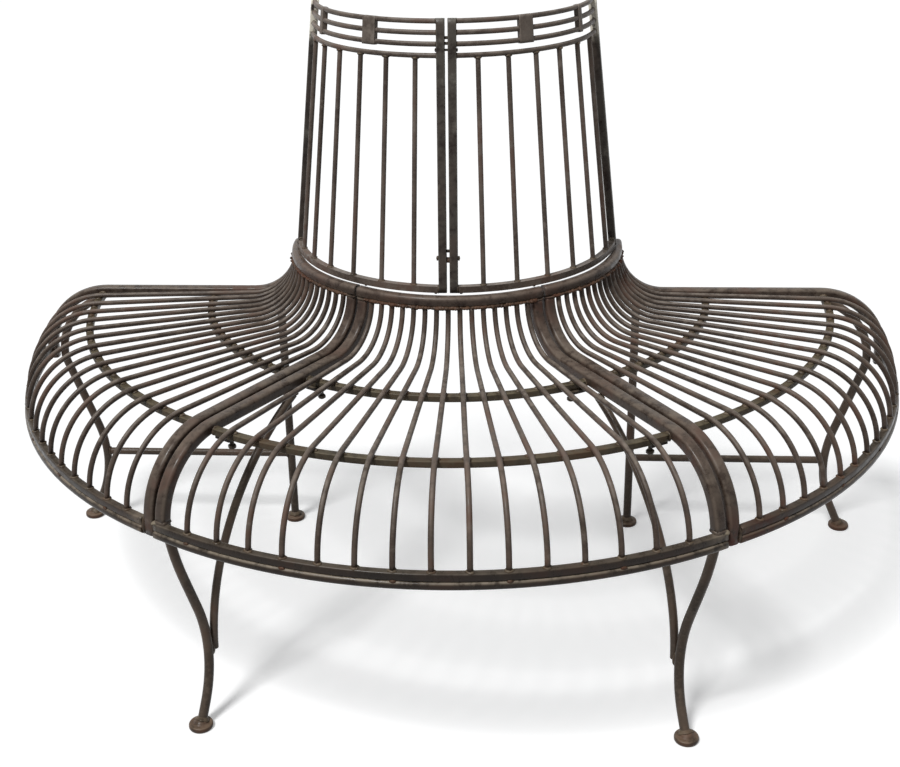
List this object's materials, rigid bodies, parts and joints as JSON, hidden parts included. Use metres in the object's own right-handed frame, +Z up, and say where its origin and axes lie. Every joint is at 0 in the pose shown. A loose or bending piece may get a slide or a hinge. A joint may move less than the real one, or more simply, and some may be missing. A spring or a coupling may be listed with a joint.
{
  "type": "tree bench",
  "caption": "Half-round metal tree bench: slatted seat in sections, leaning railed back round the trunk and bent tube legs on disc feet.",
  "frame": {"origin": "on the floor, under the middle of the bounding box", "axes": "+Z up; -Y is the bowed front of the half ring, where sitters face; +Y is the straight side with the open space for the trunk; +X is the right-hand end seen from the front"},
  "size_m": [1.4578, 0.7323, 0.9345],
  "materials": {
    "painted_steel": "antique dark brown, semi-gloss, worn at edges",
    "fasteners": "dark brown painted steel, satin"
  },
  "bodies": {
    "root": {"bolts_and_pins": "fasteners", "centre_front_rail_lower": "painted_steel", "centre_front_rail_upper": "painted_steel", "centre_inner_rail": "painted_steel", "centre_inner_support": "painted_steel", "centre_left_frame": "painted_steel", "centre_outer_support": "painted_steel", "centre_right_frame": "painted_steel", "centre_slats": "painted_steel", "left_back_bars": "painted_steel", "left_back_bottom_rail": "painted_steel", "left_end_foot": "painted_steel", "left_end_frame": "painted_steel", "left_end_leg": "painted_steel", "left_front_rail_lower": "painted_steel", "left_front_rail_upper": "painted_steel", "left_inner_foot": "painted_steel", "left_inner_leg": "painted_steel", "left_inner_rail": "painted_steel", "left_inner_stile": "painted_steel", "left_inner_support": "painted_steel", "left_outer_stile": "painted_steel", "left_outer_support": "painted_steel", "left_seam_foot": "painted_steel", "left_seam_frame": "painted_steel", "left_seam_leg": "painted_steel", "left_slats": "painted_steel", "left_stretcher": "painted_steel", "left_strut": "painted_steel", "left_top_rail_1": "painted_steel", "left_top_rail_2": "painted_steel", "left_top_rail_3": "painted_steel", "left_top_rail_4": "painted_steel", "nuts": "fasteners", "rail_collars": "painted_steel", "right_back_bars": "painted_steel", "right_back_bottom_rail": "painted_steel", "right_end_foot": "painted_steel", "right_end_frame": "painted_steel", "right_end_leg": "painted_steel", "right_front_rail_lower": "painted_steel", "right_front_rail_upper": "painted_steel", "right_inner_foot": "painted_steel", "right_inner_leg": "painted_steel", "right_inner_rail": "painted_steel", "right_inner_stile": "painted_steel", "right_inner_support": "painted_steel", "right_outer_stile": "painted_steel", "right_outer_support": "painted_steel", "right_seam_foot": "painted_steel", "right_seam_frame": "painted_steel", "right_seam_leg": "painted_steel", "right_slats": "painted_steel", "right_stretcher": "painted_steel", "right_strut": "painted_steel", "right_top_rail_1": "painted_steel", "right_top_rail_2": "painted_steel", "right_top_rail_3": "painted_steel", "right_top_rail_4": "painted_steel", "support_plates": "fasteners"}
  },
  "joints": []
}
